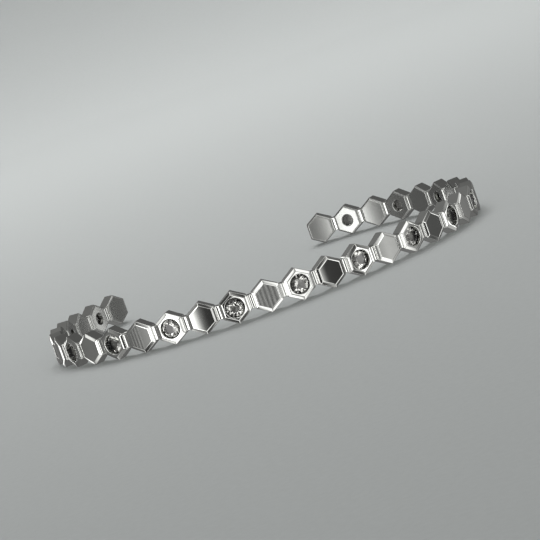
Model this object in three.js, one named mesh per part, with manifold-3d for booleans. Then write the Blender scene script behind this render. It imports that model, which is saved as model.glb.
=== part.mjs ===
// Honeycomb cuff bracelet.
//
// An oval band, open at the back, cast in one piece as a single row of hexagonal
// links that stand point up and are joined flat side to flat side by narrow
// bridges. Every second link holds a round brilliant-cut crystal in a bored seat;
// the links between them, and the one at each end, are plain polished plates.
//
// The band lies on its side, on the lower points of its links. +Z is the axis of
// the oval, the front of the bracelet faces -Y and its opening faces +Y. The origin
// is at the middle of the bracelet's box, on the surface it lies on. Millimetres.

import * as THREE from 'three';
import { mergeVertices } from 'three/addons/utils/BufferGeometryUtils.js';
import Module from 'manifold-3d';

// ---- driving dimensions ----

const OVAL_HALF_LENGTH = 31;      // outer face, from the middle to either side
const OVAL_HALF_WIDTH = 25.4;     // outer face, from the middle to the front
const WALL = 1.9;                 // thickness of a link, front to back
const LINKS_PER_LOOP = 40;        // how many links would close the whole oval
const LINKS_EACH_SIDE = 16;       // links on either side of the front one

const LINK_WIDTH = 3.77;          // between the two upright flat sides
const LINK_HEIGHT = 4.35;         // between the upper and lower points
const FLAT_SIDE = 2.12;           // length of each upright flat side
const POINT_FLAT = 0.44;          // width of the small flat that blunts each point
const BEVEL_WIDTH = 0.4;          // shallow bevel round a link's outer face
const BEVEL_DEPTH = 0.18;
const FACETS_PER_LINK = 4;        // flat strips that make up the band's curve

const BRIDGE_HEIGHT = 1.86;       // a bridge is a little shorter than a flat side
const BRIDGE_SINK = 0.42;         // from a link's outer face down to the bridge
const BRIDGE_BACK = 0.3;          // from a link's inner face down to the bridge

const SEAT_RADIUS = 1.27;         // mouth of the crystal's seat
const SEAT_DEPTH = 0.62;          // straight part of the seat
const BACK_HOLE_RADIUS = 0.8;     // open back behind the crystal
const BACK_HOLE_START = 1.04;     // depth where the seat's cone meets the back hole
const SEAT_SIDES = 24;

const CRYSTAL_RADIUS = 1.19;
const TABLE_RADIUS = 0.68;        // flat top facet
const TABLE_DEPTH = 0.15;         // the table lies this far below the outer face
const CROWN = 0.36;               // table to girdle
const GIRDLE = 0.06;
const PAVILION = 1.02;            // girdle to point
const CRYSTAL_SIDES = 16;

const OVERSHOOT = 0.3;            // how far a cutting shape passes the surface it cuts
const BEVEL_OVERSHOOT = 0.05;     // the same where the bevel runs on past the face

// ---- materials ----

const polishedPlating = new THREE.MeshStandardMaterial({
  color: 0xcfd0d2, roughness: 0.12, metalness: 1,
});
const clearCrystal = new THREE.MeshStandardMaterial({
  color: 0xeef1f3, roughness: 0.03, metalness: 0,
});

// ---- solids from and to three.js geometry ----

const wasm = await Module();
wasm.setup();

function toSolid(geometry) {
  const bare = geometry.clone();
  bare.deleteAttribute('normal');
  bare.deleteAttribute('uv');
  const merged = mergeVertices(bare, 1e-5);
  const corners = merged.index.array;
  const triVerts = [];
  for (let t = 0; t < corners.length; t += 3) {
    const [a, b, c] = [corners[t], corners[t + 1], corners[t + 2]];
    if (a !== b && b !== c && c !== a) triVerts.push(a, b, c);
  }
  return new wasm.Manifold(new wasm.Mesh({
    numProp: 3,
    vertProperties: new Float32Array(merged.attributes.position.array),
    triVerts: new Uint32Array(triVerts),
  }));
}

function toGeometry(solid) {
  const mesh = solid.getMesh();
  const geometry = new THREE.BufferGeometry();
  geometry.setAttribute('position', new THREE.BufferAttribute(mesh.vertProperties, 3));
  geometry.setIndex(new THREE.BufferAttribute(mesh.triVerts, 1));
  geometry.computeVertexNormals();
  return geometry;
}

const joinAll = (solids) => solids.reduce((all, next) => all.add(next));

// ---- the oval ----

// The curve starts at the front and runs towards +X, measured along its length.
const oval = new THREE.EllipseCurve(
  0, 0, OVAL_HALF_LENGTH, OVAL_HALF_WIDTH, -Math.PI / 2, 1.5 * Math.PI);
oval.arcLengthDivisions = 4000;

// A place on the oval, counted in links from the front one, and the way out there.
function ovalPlace(links) {
  const turn = links / LINKS_PER_LOOP;
  const point = oval.getPointAt(turn - Math.floor(turn));
  const out = new THREE.Vector2(
    point.x / OVAL_HALF_LENGTH ** 2, point.y / OVAL_HALF_WIDTH ** 2).normalize();
  return { point, out };
}

// Points from one place on the oval to another, sunk below the outer face.
function ovalPoints(fromLink, toLink, sink) {
  const steps = Math.round((toLink - fromLink) * FACETS_PER_LINK);
  return Array.from({ length: steps + 1 }, (_, i) => {
    const { point, out } = ovalPlace(fromLink + i / FACETS_PER_LINK);
    return point.addScaledVector(out, -sink);
  });
}

// Frame of a link: x along the band, y up, z out of its face.
function linkFrame(link) {
  const { point, out } = ovalPlace(link);
  const up = new THREE.Vector3(0, 0, 1);
  const outward = new THREE.Vector3(out.x, out.y, 0);
  const along = new THREE.Vector3().crossVectors(up, outward);
  return new THREE.Matrix4().makeBasis(along, up, outward)
    .setPosition(point.x, point.y, LINK_HEIGHT / 2);
}

// ---- the band ----

// A wall that stands on the oval, extruded up from an outline in the XY plane.
function upright(shape, height) {
  return new THREE.ExtrudeGeometry(shape, { depth: height, bevelEnabled: false })
    .translate(0, 0, (LINK_HEIGHT - height) / 2);
}

// The whole oval wall, with a facet edge on either side of each link's middle.
function ovalWall() {
  const start = 0.5 / FACETS_PER_LINK;
  const ring = (sink) => ovalPoints(start, start + LINKS_PER_LOOP, sink).slice(1);
  const shape = new THREE.Shape(ring(0));
  shape.holes.push(new THREE.Path(ring(WALL)));
  return upright(shape, LINK_HEIGHT + 2 * OVERSHOOT);
}

// One thin strip that runs through all the links shows between them as bridges.
function bridgeStrip() {
  const side = LINKS_EACH_SIDE;
  const outer = ovalPoints(-side, side, BRIDGE_SINK);
  const inner = ovalPoints(-side, side, WALL - BRIDGE_BACK).reverse();
  return upright(new THREE.Shape([...outer, ...inner]), BRIDGE_HEIGHT);
}

// A hexagon, point up, whose bevel narrows it towards the outer face.
function linkPrism() {
  const [side, point] = [LINK_WIDTH / 2, POINT_FLAT / 2];
  const [shoulder, tip] = [FLAT_SIDE / 2, LINK_HEIGHT / 2];
  const outline = new THREE.Shape([
    [side, -shoulder], [side, shoulder], [point, tip], [-point, tip],
    [-side, shoulder], [-side, -shoulder], [-point, -tip], [point, -tip],
  ].map(([x, y]) => new THREE.Vector2(x, y)));
  const rise = BEVEL_DEPTH + BEVEL_OVERSHOOT;
  const inset = rise * BEVEL_WIDTH / BEVEL_DEPTH;
  return new THREE.ExtrudeGeometry(outline, {
    depth: WALL,
    bevelThickness: rise,
    bevelSize: inset,
    bevelOffset: -inset,
    bevelSegments: 1,
  }).translate(0, 0, -BEVEL_DEPTH - WALL);
}

// A lathed shape whose axis points out of the link. Each row is a radius and a depth.
function lathed(rows, sides) {
  const profile = rows.map(([radius, depth]) => new THREE.Vector2(radius, -depth));
  return new THREE.LatheGeometry(profile, sides).rotateX(Math.PI / 2);
}

// What is bored out of a link to seat a crystal: a cup, a cone and an open back.
function seatBore() {
  return lathed([
    [0, WALL + OVERSHOOT],
    [BACK_HOLE_RADIUS, WALL + OVERSHOOT],
    [BACK_HOLE_RADIUS, BACK_HOLE_START],
    [SEAT_RADIUS, SEAT_DEPTH],
    [SEAT_RADIUS, -OVERSHOOT],
    [0, -OVERSHOOT],
  ], SEAT_SIDES);
}

function bandGeometry(links, seats) {
  const atEach = (geometry, places) => joinAll(
    places.map((link) => toSolid(geometry.clone().applyMatrix4(linkFrame(link)))));
  const plates = toSolid(ovalWall()).intersect(atEach(linkPrism(), links));
  const band = plates.add(toSolid(bridgeStrip()));
  return toGeometry(band.subtract(atEach(seatBore(), seats)));
}

// ---- the crystals ----

function crystalGeometry() {
  const girdleTop = TABLE_DEPTH + CROWN;
  const girdleFoot = girdleTop + GIRDLE;
  return toGeometry(toSolid(lathed([
    [0, girdleFoot + PAVILION],
    [CRYSTAL_RADIUS, girdleFoot],
    [CRYSTAL_RADIUS, girdleTop],
    [TABLE_RADIUS, TABLE_DEPTH],
    [0, TABLE_DEPTH],
  ], CRYSTAL_SIDES)));
}

// ---- the bracelet ----

const links = Array.from(
  { length: 2 * LINKS_EACH_SIDE + 1 }, (_, i) => i - LINKS_EACH_SIDE);
const seats = links.filter((link) => link % 2 !== 0);

const group = new THREE.Group();

const band = new THREE.Mesh(bandGeometry(links, seats), polishedPlating);
band.name = 'band';
group.add(band);

const crystal = crystalGeometry();
seats.forEach((link, i) => {
  const mesh = new THREE.Mesh(crystal, clearCrystal);
  mesh.name = `crystal_${String(i + 1).padStart(2, '0')}`;
  mesh.applyMatrix4(linkFrame(link));
  group.add(mesh);
});

// Centre the bracelet's box over the origin: its opening makes it shorter behind.
const box = new THREE.Box3().setFromObject(group, true);
group.position.y = -(box.min.y + box.max.y) / 2;
group.updateMatrixWorld(true);

export default group;
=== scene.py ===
# %% [markdown]
# # A honeycomb cuff bracelet
#
# This notebook finishes a slim oval cuff: a row of polished hexagonal links, every
# second one set with a round brilliant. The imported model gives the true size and
# place of every piece, and each cell below turns one of them into the real thing.
# The links are shaped in a flat row, because an even row is easiest to make straight,
# and the row is then bent round the oval, as a jeweller bends a strip on a mandrel.

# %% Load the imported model
import math
from bisect import bisect_right

import bmesh
import bpy
from mathutils import Matrix, Vector


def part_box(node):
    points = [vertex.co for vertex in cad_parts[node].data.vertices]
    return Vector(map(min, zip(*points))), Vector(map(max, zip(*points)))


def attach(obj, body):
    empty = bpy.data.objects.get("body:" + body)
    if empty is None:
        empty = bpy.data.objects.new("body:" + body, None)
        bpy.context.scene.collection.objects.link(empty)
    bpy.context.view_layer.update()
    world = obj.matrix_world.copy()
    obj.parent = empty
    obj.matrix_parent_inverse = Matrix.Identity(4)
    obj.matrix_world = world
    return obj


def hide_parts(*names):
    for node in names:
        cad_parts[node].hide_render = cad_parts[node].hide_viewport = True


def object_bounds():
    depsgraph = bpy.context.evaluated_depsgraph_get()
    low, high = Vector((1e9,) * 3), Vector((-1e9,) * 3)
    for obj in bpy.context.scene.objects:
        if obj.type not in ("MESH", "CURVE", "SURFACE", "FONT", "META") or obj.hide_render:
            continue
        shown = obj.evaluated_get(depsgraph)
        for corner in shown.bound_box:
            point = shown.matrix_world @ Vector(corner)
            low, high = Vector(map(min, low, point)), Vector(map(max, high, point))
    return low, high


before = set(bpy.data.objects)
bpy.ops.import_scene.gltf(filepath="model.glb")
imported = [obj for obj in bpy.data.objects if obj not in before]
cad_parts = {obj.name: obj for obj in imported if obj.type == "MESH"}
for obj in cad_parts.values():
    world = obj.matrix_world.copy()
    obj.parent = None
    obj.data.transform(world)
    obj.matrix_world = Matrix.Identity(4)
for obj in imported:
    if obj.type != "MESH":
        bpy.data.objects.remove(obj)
cad_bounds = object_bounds()
MM = 0.001
print("packed nodes:", len(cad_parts))
print("packed size in mm:", [round(s / MM, 2) for s in cad_bounds[1] - cad_bounds[0]])

# %% [markdown]
# ## The oval
#
# A cuff is bent on an oval mandrel, and its links sit at even steps along the curve.
# An ellipse has no formula for length along it, so the curve is walked in many small
# steps and the length so far is kept at each. The box of the band gives the two half
# axes. The opening makes the box shorter behind, so the oval's middle is found from two
# crystals at its right end, one as far before the middle as the other is past it.

# %% Measure the oval
LINKS_PER_LOOP = 40
LINKS_EACH_SIDE = 16
OVAL_STEPS = 8000

band_low, band_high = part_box("band")
seats = [k for k in range(-LINKS_EACH_SIDE, LINKS_EACH_SIDE + 1) if k % 2]
stone_nodes = {k: f"crystal_{i + 1:02d}" for i, k in enumerate(seats)}


def node_middle(node):
    low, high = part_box(node)
    return (low + high) / 2


right_end = LINKS_PER_LOOP // 4
oval_middle_y = (node_middle(stone_nodes[right_end - 1]).y
                 + node_middle(stone_nodes[right_end + 1]).y) / 2
half_length = band_high.x / MM
half_width = (oval_middle_y - band_low.y) / MM
link_height = (band_high.z - band_low.z) / MM


def oval_at(angle):
    return Vector((half_length * math.cos(angle), half_width * math.sin(angle)))


front = -math.pi / 2
step_angles = [front + 2 * math.pi * i / OVAL_STEPS for i in range(OVAL_STEPS + 1)]
lengths = [0.0]
for start, end in zip(step_angles, step_angles[1:]):
    lengths.append(lengths[-1] + (oval_at(end) - oval_at(start)).length)
loop_length = lengths[-1]
pitch = loop_length / LINKS_PER_LOOP


def oval_place(distance):
    """Point on the outer face and the way out of it, a distance round from the front."""
    distance %= loop_length
    i = min(bisect_right(lengths, distance), OVAL_STEPS) - 1
    share = (distance - lengths[i]) / (lengths[i + 1] - lengths[i])
    angle = step_angles[i] + share * (step_angles[i + 1] - step_angles[i])
    outward = Vector((math.cos(angle) / half_length, math.sin(angle) / half_width))
    return oval_at(angle), outward.normalized()


def bent(flat):
    """A point of the flat strip (along, up, out of the face), bent round the oval."""
    point, outward = oval_place(flat.x)
    point = point + outward * flat.z
    return Vector((point.x * MM, point.y * MM + oval_middle_y,
                   (flat.y + link_height / 2) * MM))


def turned(direction, distance):
    """A direction on the flat strip, turned as the strip is at that distance round."""
    outward = oval_place(distance)[1]
    return Vector((outward.x * direction.z - outward.y * direction.x,
                   outward.y * direction.z + outward.x * direction.x, direction.y))


print(f"oval {2 * half_length:.1f} x {2 * half_width:.1f} mm, one link each {pitch:.2f} mm")

# %% [markdown]
# ## The hexagonal outline
#
# Each link is a hexagon that stands on its point. Blender's circle with six sides is
# one already, so its corners only have to move to the link's own width and height.

# %% Draw one hexagon
LINK_WIDTH = 3.77
SHOULDER = 1.06
NEAR_AXIS = 0.5


def hexagon():
    """A bmesh with one hexagonal face in the XY plane, point up."""
    bm = bmesh.new()
    corners = bmesh.ops.create_circle(bm, cap_ends=True, segments=6, radius=1)["verts"]
    for corner in corners:
        is_point = abs(corner.co.x) < NEAR_AXIS
        corner.co.y = math.copysign(link_height / 2 if is_point else SHOULDER, corner.co.y)
        corner.co.x = 0 if is_point else math.copysign(LINK_WIDTH / 2, corner.co.x)
    return bm


trial = hexagon()
print("hexagon in mm:", [(round(v.co.x, 2), round(v.co.y, 2)) for v in trial.verts])
trial.free()

# %% [markdown]
# ## A plain link
#
# The face is extruded to the thickness of the wall. A wide shallow chamfer is then cut
# round the outer face, and it is what frames every link with a bright line. A steeper
# one eases the side that touches the skin. Bevel cuts at 45 degrees, so the outer
# chamfer is cut that way and then pressed flatter. The polishing wheel softens every
# edge that is left, and a second fine bevel over all of them does the same.
#
# The bevel trims the points a little, so the link is stretched back to its height.
# Each blank is sliced upright into narrow strips that can follow the oval.

# %% Make a link blank
WALL = 1.9
CHAMFER_WIDTH = 0.40
CHAMFER_DEPTH = 0.18
BACK_CHAMFER = 0.20
EDGE_ROUND = 0.07
EDGE_STEPS = 3
FLAT_MARGIN = 0.03
FACE_STRIPS = 12
TOUCHING = 1e-4
BEVEL = {"affect": "EDGES", "profile": 0.5, "material": -1}


def edges_at_depth(bm, depth):
    return [e for e in bm.edges if all(abs(v.co.z + depth) < TOUCHING for v in e.verts)]


def face_at_depth(bm, depth):
    level = [f for f in bm.faces if all(abs(v.co.z + depth) < TOUCHING for v in f.verts)]
    return max(level, key=lambda face: face.calc_area())


def link_blank():
    """A solid hexagonal plate with softened chamfers. Its outer face lies at z = 0."""
    bm = hexagon()
    grown = bmesh.ops.extrude_face_region(bm, geom=bm.faces[:])["geom"]
    back = [v for v in grown if isinstance(v, bmesh.types.BMVert)]
    bmesh.ops.translate(bm, verts=back, vec=(0, 0, -WALL))
    bmesh.ops.recalc_face_normals(bm, faces=bm.faces)
    bmesh.ops.bevel(bm, geom=edges_at_depth(bm, WALL), offset=BACK_CHAMFER, segments=1, **BEVEL)
    bmesh.ops.bevel(bm, geom=edges_at_depth(bm, 0), offset=CHAMFER_WIDTH, segments=1, **BEVEL)
    for edge in edges_at_depth(bm, CHAMFER_WIDTH):
        for vert in edge.verts:
            vert.co.z = -CHAMFER_DEPTH
    bmesh.ops.bevel(bm, geom=bm.edges[:], offset=EDGE_ROUND, segments=EDGE_STEPS, **BEVEL)
    reach = max(v.co.y for v in bm.verts)
    bmesh.ops.scale(bm, verts=bm.verts, vec=(1, link_height / 2 / reach, 1))
    flats = [face_at_depth(bm, 0), face_at_depth(bm, WALL)]
    bmesh.ops.inset_individual(bm, faces=flats, thickness=FLAT_MARGIN)
    return bm


def sliced(bm):
    """Cuts a link into upright strips without parting it."""
    for i in range(1, FACE_STRIPS):
        place = (LINK_WIDTH * (i / FACE_STRIPS - 0.5), 0, 0)
        everything = bm.verts[:] + bm.edges[:] + bm.faces[:]
        bmesh.ops.bisect_plane(bm, geom=everything, dist=TOUCHING,
                               plane_co=place, plane_no=(1, 0, 0))
    return bm


trial = sliced(link_blank())
print("faces in a plain link:", len(trial.faces),
      "reach in mm:", round(max(v.co.x for v in trial.verts), 3),
      round(max(v.co.y for v in trial.verts), 3))
trial.free()

# %% [markdown]
# ## A seat for a crystal
#
# A setter drills through the plate from behind, then opens the front with a round
# burr, and the stone drops in until its slanting underside meets the cone. Here the
# front face is opened with a circle bridged to the hexagon, and the circle's edge is
# drawn down ring by ring, as the burr goes. The hole goes through to the back, so
# light reaches the stone from both sides.

# %% Bore the seat
SEAT_STEPS = 48
SEAT_MOUTH = 1.38
SEAT_RINGS = [
    {"radius": 1.35, "depth": 0.00},
    {"radius": 1.31, "depth": 0.02},
    {"radius": 1.27, "depth": 0.07},
    {"radius": 1.27, "depth": 0.62},
    {"radius": 0.83, "depth": 1.01},
    {"radius": 0.80, "depth": 1.07},
    {"radius": 0.80, "depth": 1.80},
    {"radius": 0.83, "depth": 1.87},
    {"radius": 0.90, "depth": 1.90},
    {"radius": 0.93, "depth": 1.90},
]


def bore_seat(bm):
    """Opens a stepped round hole through a blank, from its outer face to its back."""
    front_face, back_face = face_at_depth(bm, 0), face_at_depth(bm, WALL)
    front_loop, back_loop = front_face.edges[:], back_face.edges[:]
    bmesh.ops.delete(bm, geom=[front_face, back_face], context="FACES_ONLY")
    mouth = bmesh.ops.create_circle(bm, segments=SEAT_STEPS, radius=SEAT_MOUTH)["verts"]
    ring = [e for e in bm.edges if all(v in mouth for v in e.verts)]
    bmesh.ops.bridge_loops(bm, edges=front_loop + ring)
    for row in SEAT_RINGS:
        drawn = bmesh.ops.extrude_edge_only(bm, edges=ring)["geom"]
        ring = [e for e in drawn if isinstance(e, bmesh.types.BMEdge)]
        for vert in (v for v in drawn if isinstance(v, bmesh.types.BMVert)):
            vert.co.xy = vert.co.xy.normalized() * row["radius"]
            vert.co.z = -row["depth"]
    bmesh.ops.bridge_loops(bm, edges=back_loop + ring)
    bmesh.ops.recalc_face_normals(bm, faces=bm.faces)


trial = link_blank()
bore_seat(trial)
print("faces in a bored link:", len(trial.faces),
      "open edges:", sum(not e.is_manifold for e in trial.edges))
trial.free()

# %% [markdown]
# ## The row of links
#
# The links are cast in one with short bars between their flat sides. The bars could
# be separate boxes pushed into the links, but that leaves faces hidden in the metal.
# Instead each flat side gets an opening, and facing openings are bridged, so the band
# is a single skin. Each bar is rounded along its edges and drawn in a little at its
# middle, front and back, so that it catches a bright line. The row is laid out flat
# first and bent at the end.

# %% Lay the row out flat
BAR_MARGIN = 0.07
BAR_ROUND = 0.12
BAR_STEPS = 3
BAR_CUTS = 5
BAR_WAIST = 0.05
SQUARE_ON = 0.99


def open_side(bm, direction):
    """Opens the flat side that faces along the row (1) or back (-1) for a bar."""
    side = max(bm.faces, key=lambda f: f.calc_area() * (f.normal.x * direction > SQUARE_ON))
    bmesh.ops.inset_individual(bm, faces=[side], thickness=BAR_MARGIN)
    bmesh.ops.delete(bm, geom=[side], context="FACES_ONLY")


def link_mesh(link):
    """One finished link of the flat row, as a mesh in its place."""
    bm = link_blank()
    if link in stone_nodes:
        bore_seat(bm)
    sliced(bm)
    if link > -LINKS_EACH_SIDE:
        open_side(bm, -1)
    if link < LINKS_EACH_SIDE:
        open_side(bm, 1)
    bmesh.ops.translate(bm, verts=bm.verts, vec=(link * pitch, 0, 0))
    mesh = bpy.data.meshes.new(f"link_{link}")
    bm.to_mesh(mesh)
    bm.free()
    return mesh


def spans(edge, middle):
    """True for an edge that crosses from one side of a joint to the other."""
    return (edge.verts[0].co.x - middle) * (edge.verts[1].co.x - middle) < 0


def add_bar(row, rim, middle):
    """Joins two facing openings with a rounded bar that is slightly waisted."""
    sides = bmesh.ops.bridge_loops(row, edges=rim)["edges"]
    rounded = bmesh.ops.bevel(row, geom=sides, offset=BAR_ROUND, segments=BAR_STEPS, **BEVEL)
    along = {e for f in rounded["faces"] for e in f.edges if spans(e, middle)}
    cut = bmesh.ops.subdivide_edges(row, edges=list(along), cuts=BAR_CUTS)["geom_inner"]
    half_gap = (pitch - LINK_WIDTH) / 2
    for vert in {g for g in cut if isinstance(g, bmesh.types.BMVert)}:
        share = (vert.co.x - middle) / half_gap
        side = 1 if vert.co.z > -WALL / 2 else -1
        vert.co.z -= side * BAR_WAIST * (1 - share ** 2)


def flat_row():
    row = bmesh.new()
    for link in range(-LINKS_EACH_SIDE, LINKS_EACH_SIDE + 1):
        mesh = link_mesh(link)
        row.from_mesh(mesh)
        bpy.data.meshes.remove(mesh)
    rims = {}
    for edge in row.edges:
        if edge.is_boundary:
            middle = (edge.verts[0].co.x + edge.verts[1].co.x) / 2
            rims.setdefault(math.floor(middle / pitch), []).append(edge)
    for gap, rim in rims.items():
        add_bar(row, rim, (gap + 0.5) * pitch)
    bmesh.ops.recalc_face_normals(row, faces=row.faces)
    return row


row = flat_row()
print("bars:", 2 * LINKS_EACH_SIDE, "open edges:", sum(not e.is_manifold for e in row.edges))

# %% [markdown]
# ## Bending the strip
#
# The row is rolled round the mandrel last. Every vertex of the flat strip moves to its
# place on the oval. Before it does, each vertex notes two things for the finish: where
# it lay on the flat strip, so that polishing marks can follow the band, and whether
# it sits down a seat, which the polishing wheel can't reach and where shade is painted.
#
# A mirror shows every fault in the shading, and averaged normals on a faceted curve
# would show as ripples. On the flat strip the normals are exact, with large faces
# outweighing the small ones of the rims, so they are taken there and turned with it.

# %% Bend the row and make the band
SEAT_REACH = 1.4
WHEEL_REACH = 0.12


def seat_dull_and_shade_mask(flat):
    """1 on the walls of a seat, which the polishing wheel can't reach and where shade is painted,
    and 0 elsewhere.
    """
    link = round(flat.x / pitch)
    along = abs(flat.x - link * pitch)
    down_a_seat = link in stone_nodes and math.hypot(along, flat.y) < SEAT_REACH
    inside = -WALL + WHEEL_REACH < flat.z < -WHEEL_REACH
    return float(inside and down_a_seat)


def finished_piece(name, bm, smooth):
    """Turns a bmesh into a scene object at the origin, with its normals pointing out."""
    bmesh.ops.recalc_face_normals(bm, faces=bm.faces)
    for face in bm.faces:
        face.smooth = smooth
    mesh = bpy.data.meshes.new(name)
    bm.to_mesh(mesh)
    bm.free()
    piece = bpy.data.objects.new(name, mesh)
    bpy.context.scene.collection.objects.link(piece)
    return piece


def weighted_normal(vert):
    return sum((f.normal * f.calc_area() for f in vert.link_faces), Vector()).normalized()


strip_place = row.verts.layers.float_vector.new("strip_place")
seat_dull_and_shade = row.verts.layers.float.new("seat_dull_and_shade")
row.normal_update()
normals = [turned(weighted_normal(vert), vert.co.x) for vert in row.verts]
for vert in row.verts:
    vert[strip_place] = vert.co * MM
    vert[seat_dull_and_shade] = seat_dull_and_shade_mask(vert.co)
    vert.co = bent(vert.co)
band = finished_piece("band_polished", row, smooth=True)
band.data.normals_split_custom_set_from_vertices(normals)
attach(band, "root")
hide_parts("band")
print("band triangles:", sum(len(p.vertices) - 2 for p in band.data.polygons))

# %% [markdown]
# ## The crystals
#
# Each seat holds a round brilliant: a flat table, a ring of crown facets, a thin girdle
# and a deep pavilion that throws light back out. A cutter sets each facet by its angle,
# so the stone is described by a few rings of corners and the angles between them. The
# convex hull of those rings is the cut stone. No facet is placed by hand.

# %% Cut one brilliant
STONE_RADIUS = 1.19
TABLE_SHARE = 0.57
CROWN_SHARE = 0.80
PAVILION_SHARE = 0.24
GIRDLE_SHARE = 0.05
CROWN_ANGLE = math.radians(34.5)
PAVILION_ANGLE = math.radians(41)
TABLE_SINK = 0.15
MAIN_FACETS = 8
HALF_STEP = math.pi / MAIN_FACETS
SAME_FACET = math.radians(0.5)


def corner_ring(bm, corners, radius, height, turn):
    ring = bmesh.ops.create_circle(bm, segments=corners, radius=radius)["verts"]
    place = Matrix.Translation((0, 0, height)) @ Matrix.Rotation(turn, 4, "Z")
    bmesh.ops.transform(bm, verts=ring, matrix=place)


def brilliant():
    """A cut stone with its table at z = 0 and its point down, as a bmesh in mm."""
    bm = bmesh.new()
    crown_slope = math.tan(CROWN_ANGLE)
    pavilion_slope = math.tan(PAVILION_ANGLE)
    across = math.cos(HALF_STEP)
    girdle_top = -STONE_RADIUS * (1 - TABLE_SHARE) * crown_slope
    girdle_low = girdle_top - STONE_RADIUS * GIRDLE_SHARE
    crown_mid = girdle_top + STONE_RADIUS * (1 - CROWN_SHARE * across) * crown_slope
    pavilion_mid = girdle_low - STONE_RADIUS * (1 - PAVILION_SHARE * across) * pavilion_slope
    culet = girdle_low - STONE_RADIUS * pavilion_slope
    corner_ring(bm, MAIN_FACETS, STONE_RADIUS * TABLE_SHARE, 0, 0)
    corner_ring(bm, MAIN_FACETS, STONE_RADIUS * CROWN_SHARE, crown_mid, HALF_STEP)
    corner_ring(bm, 2 * MAIN_FACETS, STONE_RADIUS, girdle_top, 0)
    corner_ring(bm, 2 * MAIN_FACETS, STONE_RADIUS, girdle_low, 0)
    corner_ring(bm, MAIN_FACETS, STONE_RADIUS * PAVILION_SHARE, pavilion_mid, HALF_STEP)
    bmesh.ops.create_vert(bm, co=(0, 0, culet))
    bmesh.ops.convex_hull(bm, input=bm.verts)
    bmesh.ops.dissolve_limit(bm, angle_limit=SAME_FACET, verts=bm.verts, edges=bm.edges)
    return bm


trial = brilliant()
print("facets on one stone:", len(trial.faces),
      "depth in mm:", round(-min(v.co.z for v in trial.verts), 2))
trial.free()

# %% [markdown]
# ## Setting the crystals
#
# A setter doesn't line the facets up from stone to stone, so each crystal is turned by
# the golden angle more than the last, which never repeats. Each one is placed by the
# same oval as its link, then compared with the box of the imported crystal.

# %% Set one crystal in each seat
GOLDEN_ANGLE = math.radians(137.5)


def link_frame(link):
    """Matrix from a link's own axes (along, up, out of the face) to the bracelet."""
    point, outward = oval_place(link * pitch)
    out = outward.to_3d()
    along = Vector((-out.y, out.x, 0))
    axes = Matrix((along, (0, 0, 1), out)).transposed().to_4x4()
    origin = (point.x * MM, point.y * MM + oval_middle_y, link_height / 2 * MM)
    return Matrix.Translation(origin) @ axes


stones = []
furthest = 0
for order, (link, node) in enumerate(stone_nodes.items(), start=1):
    bm = brilliant()
    sunk = Matrix.Translation((0, 0, -TABLE_SINK)) @ Matrix.Rotation(GOLDEN_ANGLE * order, 4, "Z")
    bmesh.ops.transform(bm, verts=bm.verts, matrix=link_frame(link) @ Matrix.Scale(MM, 4) @ sunk)
    stone = finished_piece(f"stone_{order:02d}", bm, smooth=False)
    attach(stone, "root")
    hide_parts(node)
    stones.append(stone)
    middle = sum((Vector(corner) for corner in stone.bound_box), Vector()) / 8
    furthest = max(furthest, (middle - node_middle(node)).length)
print("crystals set:", len(stones), "furthest from its packed place in mm:",
      round(furthest / MM, 3))

# %% [markdown]
# ## Helpers for the finishes
#
# Colours are written as the hex values of a paint chart, which are sRGB, and Blender's
# shaders work in linear light, so one function converts them. Another adds a node to
# a tree, sets its properties, and fills or links its inputs. Pattern sizes are given
# in millimetres, while the noise textures count features to the metre.

# %% Colour and node helpers


def linear(code):
    """Linear RGBA from an sRGB hex code such as #808080."""
    channels = [int(code[i:i + 2], 16) / 255 for i in (1, 3, 5)]
    return [c / 12.92 if c <= 0.04045 else ((c + 0.055) / 1.055) ** 2.4
            for c in channels] + [1.0]


def per_metre(size_in_mm):
    return 1 / (size_in_mm * MM)


def add(tree, kind, inputs=(), **settings):
    """A new node. An input is either a plain value or another node's output."""
    made = tree.nodes.new(kind)
    for name, value in settings.items():
        setattr(made, name, value)
    for name, value in dict(inputs).items():
        if isinstance(value, bpy.types.NodeSocket):
            tree.links.new(value, made.inputs[name])
        else:
            made.inputs[name].default_value = value
    return made


def new_material(name):
    """A material with no nodes yet, and its node tree."""
    material = bpy.data.materials.new(name)
    material.use_nodes = True
    material.node_tree.nodes.clear()
    return material, material.node_tree


print("mid grey in linear light:", round(linear("#808080")[0], 3))

# %% [markdown]
# ## Bright plating over polished metal
#
# The band is cast, polished on a wheel and plated, which gives a pale neutral mirror.
# Four things keep it from looking like a perfect one. The wheel leaves the faces very
# slightly wavy, so straight reflections wobble. It leaves fine hairlines along the
# band. It can't follow the curve inside, which is only tumbled and comes out satin and
# a shade darker. And it never reaches down the seats, which stay dull, and there the
# walls are painted almost black as the shade down a seat.
#
# Real hairlines are about a hundredth of a millimetre wide, too fine to show from the
# camera, so they are drawn five times as wide. Bump is enough for the hairlines and the
# waves, because both are far too shallow to be worth shaping in the mesh.

# %% Make the plating
WAVE_SIZE = 2.6
WAVE_DEPTH = 0.004
HAIRLINE_WIDTH = 0.05
HAIRLINE_DEPTH = 0.0004
HAIRLINE_STRETCH = 0.06
CLOUD_SIZE = 1.1
SATIN_DEPTH = 1.8
SATIN_BLEND = 0.2
SATIN_ROUGHNESS = 0.26
SEAT_ROUGHNESS = 0.24


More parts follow.
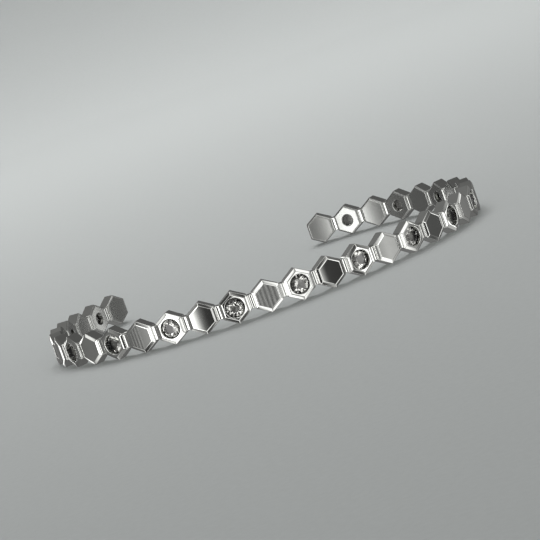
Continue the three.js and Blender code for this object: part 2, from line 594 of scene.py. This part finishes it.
def plating():
    material, tree = new_material("bright_plating_wheel_polished")
    place = add(tree, "ShaderNodeAttribute", attribute_name="strip_place").outputs["Vector"]
    seat_dull_and_shade = add(tree, "ShaderNodeAttribute", attribute_name="seat_dull_and_shade").outputs["Fac"]
    cloud = add(tree, "ShaderNodeTexNoise",
                {"Vector": place, "Scale": per_metre(CLOUD_SIZE), "Detail": 4.0})
    stretched = add(tree, "ShaderNodeMapping",
                    {"Vector": place, "Scale": (HAIRLINE_STRETCH, 1, 1)})
    hairline = add(tree, "ShaderNodeTexNoise",
                   {"Vector": stretched.outputs["Vector"],
                    "Scale": per_metre(HAIRLINE_WIDTH), "Detail": 2.0})
    wave = add(tree, "ShaderNodeTexNoise",
               {"Vector": place, "Scale": per_metre(WAVE_SIZE), "Detail": 1.0})
    depth = add(tree, "ShaderNodeSeparateXYZ", {"Vector": place}).outputs["Z"]
    inner_side = add(tree, "ShaderNodeMapRange",
                     {"Value": depth, "From Min": -SATIN_DEPTH * MM,
                      "From Max": (SATIN_BLEND - SATIN_DEPTH) * MM, "To Min": 1.0, "To Max": 0.0})
    plate_colour = add(tree, "ShaderNodeMix",
                       {"Factor": cloud.outputs["Fac"], "A": linear("#DCDDD9"),
                        "B": linear("#CECFCB")}, data_type="RGBA")
    open_colour = add(tree, "ShaderNodeMix",
                      {"Factor": inner_side.outputs["Result"],
                       "A": plate_colour.outputs["Result"], "B": linear("#A6A7A4")},
                      data_type="RGBA")
    # The seat walls are painted almost black. This is painted shade down each seat, while the
    # higher roughness there is their real dullness.
    colour = add(tree, "ShaderNodeMix",
                 {"Factor": seat_dull_and_shade, "A": open_colour.outputs["Result"],
                  "B": linear("#0E0E0D")}, data_type="RGBA")
    face_gloss = add(tree, "ShaderNodeMapRange",
                     {"Value": cloud.outputs["Fac"], "To Min": 0.035, "To Max": 0.085})
    open_gloss = add(tree, "ShaderNodeMix",
                     {"Factor": inner_side.outputs["Result"],
                      "A": face_gloss.outputs["Result"], "B": SATIN_ROUGHNESS})
    gloss = add(tree, "ShaderNodeMix",
                {"Factor": seat_dull_and_shade, "A": open_gloss.outputs["Result"], "B": SEAT_ROUGHNESS})
    wavy = add(tree, "ShaderNodeBump",
               {"Height": wave.outputs["Fac"], "Distance": WAVE_DEPTH * MM, "Strength": 1.0})
    scratched = add(tree, "ShaderNodeBump",
                    {"Height": hairline.outputs["Fac"], "Distance": HAIRLINE_DEPTH * MM,
                     "Strength": 0.5, "Normal": wavy.outputs["Normal"]})
    surface = add(tree, "ShaderNodeBsdfPrincipled",
                  {"Base Color": colour.outputs["Result"], "Metallic": 1.0,
                   "Roughness": gloss.outputs["Result"],
                   "Normal": scratched.outputs["Normal"]})
    add(tree, "ShaderNodeOutputMaterial", {"Surface": surface.outputs["BSDF"]})
    return material


band.data.materials.append(plating())
print("band finish:", band.data.materials[0].name)

# %% [markdown]
# ## Clear cut crystal
#
# The stones are machine-cut crystal glass. Its refractive index is too low to turn all
# the light back at the pavilion, so some facets flash while others look through to the
# black seat, which is why such a stone seems darker than a diamond. Crystal glass starts
# at an index of about 1.5, and a little less was settled on, because it lets more
# of the seat show. The polish is almost perfect, with a trace of haze from handling.

# %% Make the crystal
HAZE_SIZE = 0.5
CRYSTAL_INDEX = 1.45


def crystal():
    material, tree = new_material("clear_crystal_machine_cut")
    place = add(tree, "ShaderNodeTexCoord").outputs["Object"]
    haze = add(tree, "ShaderNodeTexNoise",
               {"Vector": place, "Scale": per_metre(HAZE_SIZE), "Detail": 3.0})
    tint = add(tree, "ShaderNodeMix",
               {"Factor": haze.outputs["Fac"], "A": linear("#C6C6C2"),
                "B": linear("#BABAB5")}, data_type="RGBA")
    polish = add(tree, "ShaderNodeMapRange",
                 {"Value": haze.outputs["Fac"], "From Min": 0.45, "From Max": 0.75,
                  "To Min": 0.0, "To Max": 0.03})
    surface = add(tree, "ShaderNodeBsdfPrincipled",
                  {"Base Color": tint.outputs["Result"], "IOR": CRYSTAL_INDEX,
                   "Transmission Weight": 1.0, "Roughness": polish.outputs["Result"]})
    add(tree, "ShaderNodeOutputMaterial", {"Surface": surface.outputs["BSDF"]})
    return material


stone_finish = crystal()
for stone in stones:
    stone.data.materials.append(stone_finish)
print("crystal finish:", stone_finish.name)

# %% [markdown]
# ## The floor
#
# Small polished things are set out on a pale paper sweep that curves up all round
# them, so that no horizon shows. A profile of floor, cove and wall is spun into a bowl.
# A mirror would show the nearest stretch of paper and little else, so the bowl is
# hidden from reflections and from the light that passes through the crystals, and both
# see the studio round it instead. The bowl casts no shadow either, because its wall
# would stand between the studio and the floor.

# %% Spin a paper sweep
SWEEP_FLOOR = 0.45
SWEEP_COVE = 0.80
SWEEP_WALL = 0.20
COVE_STEPS = 24
SWEEP_SIDES = 96
FIBRE_SIZE = 0.8
TOOTH_DEPTH = 0.02
SEAM_GAP = 0.01


def paper():
    material, tree = new_material("matte_paper_sweep")
    place = add(tree, "ShaderNodeTexCoord").outputs["Object"]
    fibre = add(tree, "ShaderNodeTexNoise",
                {"Vector": place, "Scale": per_metre(FIBRE_SIZE), "Detail": 6.0})
    shade = add(tree, "ShaderNodeMix",
                {"Factor": fibre.outputs["Fac"], "A": linear("#B1B4B3"),
                 "B": linear("#BABDBC")}, data_type="RGBA")
    tooth = add(tree, "ShaderNodeBump",
                {"Height": fibre.outputs["Fac"], "Distance": TOOTH_DEPTH * MM, "Strength": 0.3})
    surface = add(tree, "ShaderNodeBsdfPrincipled",
                  {"Base Color": shade.outputs["Result"], "Roughness": 0.9,
                   "Normal": tooth.outputs["Normal"]})
    add(tree, "ShaderNodeOutputMaterial", {"Surface": surface.outputs["BSDF"]})
    return material


bm = bmesh.new()
cove = [math.pi / 2 * i / COVE_STEPS for i in range(COVE_STEPS + 1)]
profile = [(0, 0)]
profile += [(SWEEP_FLOOR + SWEEP_COVE * math.sin(a), SWEEP_COVE * (1 - math.cos(a))) for a in cove]
profile += [(SWEEP_FLOOR + SWEEP_COVE, SWEEP_COVE + SWEEP_WALL)]
points = [bmesh.ops.create_vert(bm, co=(reach, 0, height))["vert"][0] for reach, height in profile]
edges = [bm.edges.new(pair) for pair in zip(points, points[1:])]
bmesh.ops.spin(bm, geom=points + edges, cent=(0, 0, 0), axis=(0, 0, 1),
               angle=2 * math.pi, steps=SWEEP_SIDES, use_merge=True)
bmesh.ops.remove_doubles(bm, verts=bm.verts, dist=SEAM_GAP * MM)
sweep = finished_piece("paper_sweep", bm, smooth=True)
sweep.data.materials.append(paper())
sweep.visible_glossy = False
sweep.visible_transmission = False
sweep.visible_shadow = False
print("sweep faces:", len(sweep.data.polygons))

# %% [markdown]
# ## The studio
#
# A curved mirror is made by what stands round it. Each link faces a little further
# round than the last, so a row of soft boxes and black flags, seen in turn, makes some
# links shine and others go dark, and where the edge of a box falls across a link, that
# link is half bright. The chamfers tip the view up or down, so they see a second row,
# hung above and below the first, and the two rows blend into each other over a short
# range of height. Each row is a list of directions, in degrees round from the front,
# with the brightness there, and both are drawn on the world with a colour ramp, which
# holds at most 32 stops. Slatted blinds hang in two places of the level row and stripe
# the plates that face them. Slats are too many for a ramp's stops, so a sine of the
# direction draws them, and a third list says where there is a blind, at 1, and where
# there is none.
#
# The brightest boxes are several times as bright as white. On metal they burn out to
# plain white, as highlights do, and after a crystal has swallowed most of their light
# there is still enough for a flash. Paper would come out too pale under them, so a Light
# Path node asks what kind of surface is lit, and a matt one gets only a share of it.

# %% Hang the soft boxes
LEVEL_ROW = (
    (-180, 0.28), (-163, 0.14), (-160, 2.60), (-151, 2.60), (-148, 0.14), (-118, 0.20),
    (-82, 0.19), (-68, 0.45), (-63, 3.80), (-48, 3.80), (-41.5, 0.28), (-38.7, 0.05),
    (-24, 0.03), (-19, 3.80), (-15, 0.28), (-3.5, 0.28), (-1, 1.60), (13, 1.60),
    (16, 0.06), (30, 0.04), (35, 4.00), (42, 0.44), (47.5, 0.68), (62, 0.38),
    (70, 0.11), (84.5, 0.10), (87, 2.60), (92, 2.60), (94.5, 0.08), (108, 0.26),
    (158, 0.10))
OUTER_ROW = (
    (-180, 0.22), (-130, 0.12), (-108, 0.20), (-98, 1.20), (-90, 1.20), (-80, 0.30),
    (-73, 0.35), (-62, 0.06), (-54, 0.06), (-47, 0.50), (-41, 1.80), (-25, 1.80),
    (-18, 0.25), (-12, 0.07), (-9, 0.08), (-5, 0.55), (2, 0.55), (7, 0.08),
    (12, 0.08), (20, 0.80), (27, 1.70), (42, 1.50), (50, 0.20), (62, 0.10),
    (72, 0.50), (84, 0.70), (96, 0.30), (115, 0.12), (145, 0.12))
BLINDS = (
    (-180, 0), (-84, 0), (-83, 1), (-76, 1), (-75, 0), (-15.5, 0), (-14.5, 1), (-4, 1),
    (-3, 0))
SLAT_PITCH = 1.9
SLAT_EDGE = 0.7
SLAT_SHADE = 0.35
SLAT_SHINE = 1.65
ABOVE_LEVEL = {"From Min": 0.20, "From Max": 0.35}
BELOW_LEVEL = {"From Min": -0.30, "From Max": -0.45}
PAPER_SHARE = 0.75

world = bpy.data.worlds.new("studio")
bpy.context.scene.world = world
world.use_nodes = True
tree = world.node_tree
tree.nodes.clear()
direction = add(tree, "ShaderNodeTexCoord").outputs["Generated"]
axes = add(tree, "ShaderNodeSeparateXYZ", {"Vector": direction})
forward = add(tree, "ShaderNodeMath", {0: axes.outputs["Y"], 1: -1.0}, operation="MULTIPLY")
azimuth = add(tree, "ShaderNodeMath", {0: axes.outputs["X"], 1: forward.outputs[0]},
              operation="ARCTAN2")
way_round = add(tree, "ShaderNodeMapRange",
                {"Value": azimuth.outputs[0], "From Min": -math.pi, "From Max": math.pi})


def row_of_boxes(boxes):
    """Brightness in every direction round, blended between the ones listed."""
    ramp = add(tree, "ShaderNodeValToRGB", {"Fac": way_round.outputs["Result"]})
    stops = ramp.color_ramp.elements
    stops.remove(stops[1])
    for i, (angle, light) in enumerate(boxes):
        position = (angle + 180) / 360
        stop = stops[0] if i == 0 else stops.new(position)
        stop.position = position
        stop.color = [light] * 3 + [1.0]
    closing = stops.new(1.0)
    closing.color = [boxes[0][1]] * 3 + [1.0]
    return ramp.outputs["Color"]


upward = add(tree, "ShaderNodeMapRange", {"Value": axes.outputs["Z"], **ABOVE_LEVEL},
             interpolation_type="SMOOTHSTEP")
downward = add(tree, "ShaderNodeMapRange", {"Value": axes.outputs["Z"], **BELOW_LEVEL},
               interpolation_type="SMOOTHSTEP")
outer = add(tree, "ShaderNodeMath",
            {0: upward.outputs["Result"], 1: downward.outputs["Result"]}, operation="MAXIMUM")
slats = add(tree, "ShaderNodeMath", {0: azimuth.outputs[0], 1: 360 / SLAT_PITCH},
            operation="MULTIPLY")
slat_wave = add(tree, "ShaderNodeMath", {0: slats.outputs[0]}, operation="SINE")
slat_light = add(tree, "ShaderNodeMapRange",
                 {"Value": slat_wave.outputs[0], "From Min": -SLAT_EDGE,
                  "From Max": SLAT_EDGE, "To Min": SLAT_SHADE, "To Max": SLAT_SHINE})
level = add(tree, "ShaderNodeMix",
            {"Factor": row_of_boxes(BLINDS), "A": row_of_boxes(LEVEL_ROW),
             "B": slat_light.outputs["Result"]}, data_type="RGBA", blend_type="MULTIPLY")
surroundings = add(tree, "ShaderNodeMix",
                   {"Factor": outer.outputs[0], "A": level.outputs["Result"],
                    "B": row_of_boxes(OUTER_ROW)}, data_type="RGBA")
on_paper = add(tree, "ShaderNodeLightPath").outputs["Is Diffuse Ray"]
strength = add(tree, "ShaderNodeMapRange",
               {"Value": on_paper, "To Min": 1.0, "To Max": PAPER_SHARE})
background = add(tree, "ShaderNodeBackground",
                 {"Color": surroundings.outputs["Result"],
                  "Strength": strength.outputs["Result"]})
add(tree, "ShaderNodeOutputWorld", {"Surface": background.outputs["Background"]})
print("directions listed: level row", len(LEVEL_ROW), "outer row", len(OUTER_ROW))

# %% [markdown]
# ## The key light
#
# One wide soft box hangs over the far side. It lights the paper and draws the soft
# shadow in front that seats the band on it. The metal already has its boxes, so this
# one is kept out of the reflections, where it would burn out the upper edges.

# %% Hang the overhead light
KEY_PLACE = (0.10, 0.40, 0.50)
KEY_SIZE = 0.50
KEY_POWER = 3.2

key_data = bpy.data.lights.new("overhead_soft_box", "AREA")
key_data.shape = "DISK"
key_data.size = KEY_SIZE
key_data.energy = KEY_POWER
key = bpy.data.objects.new("overhead_soft_box", key_data)
key.location = KEY_PLACE
key.visible_glossy = False
key.rotation_euler = (-key.location).to_track_quat("-Z", "Y").to_euler()
bpy.context.scene.collection.objects.link(key)
print("overhead light in W:", KEY_POWER)

# %% [markdown]
# ## The camera
#
# A long lens from half an arm's length away looks at the closed side of the cuff from a
# little above the floor, turned slightly towards its left end. The camera is rolled, so
# the band climbs to the right.

# %% Place the camera
CAMERA_AZIMUTH = math.radians(-18)
CAMERA_ELEVATION = math.radians(7.2)
CAMERA_ROLL = math.radians(-19.5)
CAMERA_DISTANCE = 0.40
VIEW_WIDTH = 0.073
SENSOR_WIDTH = 36

camera_data = bpy.data.cameras.new("camera")
camera_data.sensor_width = SENSOR_WIDTH
camera_data.lens = SENSOR_WIDTH * CAMERA_DISTANCE / VIEW_WIDTH
camera = bpy.data.objects.new("camera", camera_data)
bpy.context.scene.collection.objects.link(camera)
to_camera = Vector((math.sin(CAMERA_AZIMUTH) * math.cos(CAMERA_ELEVATION),
                    -math.cos(CAMERA_AZIMUTH) * math.cos(CAMERA_ELEVATION),
                    math.sin(CAMERA_ELEVATION)))
aim = (cad_bounds[0] + cad_bounds[1]) / 2
facing = (-to_camera).to_track_quat("-Z", "Y").to_matrix() @ Matrix.Rotation(CAMERA_ROLL, 3, "Z")
camera.matrix_world = Matrix.Translation(aim + to_camera * CAMERA_DISTANCE) @ facing.to_4x4()
bpy.context.scene.camera = camera
bpy.context.scene.view_settings.view_transform = "Standard"
print("lens in mm:", round(camera_data.lens))

# %% Print the packed box
print("packed box in mm:", [[round(c / MM, 3) for c in corner] for corner in cad_bounds])
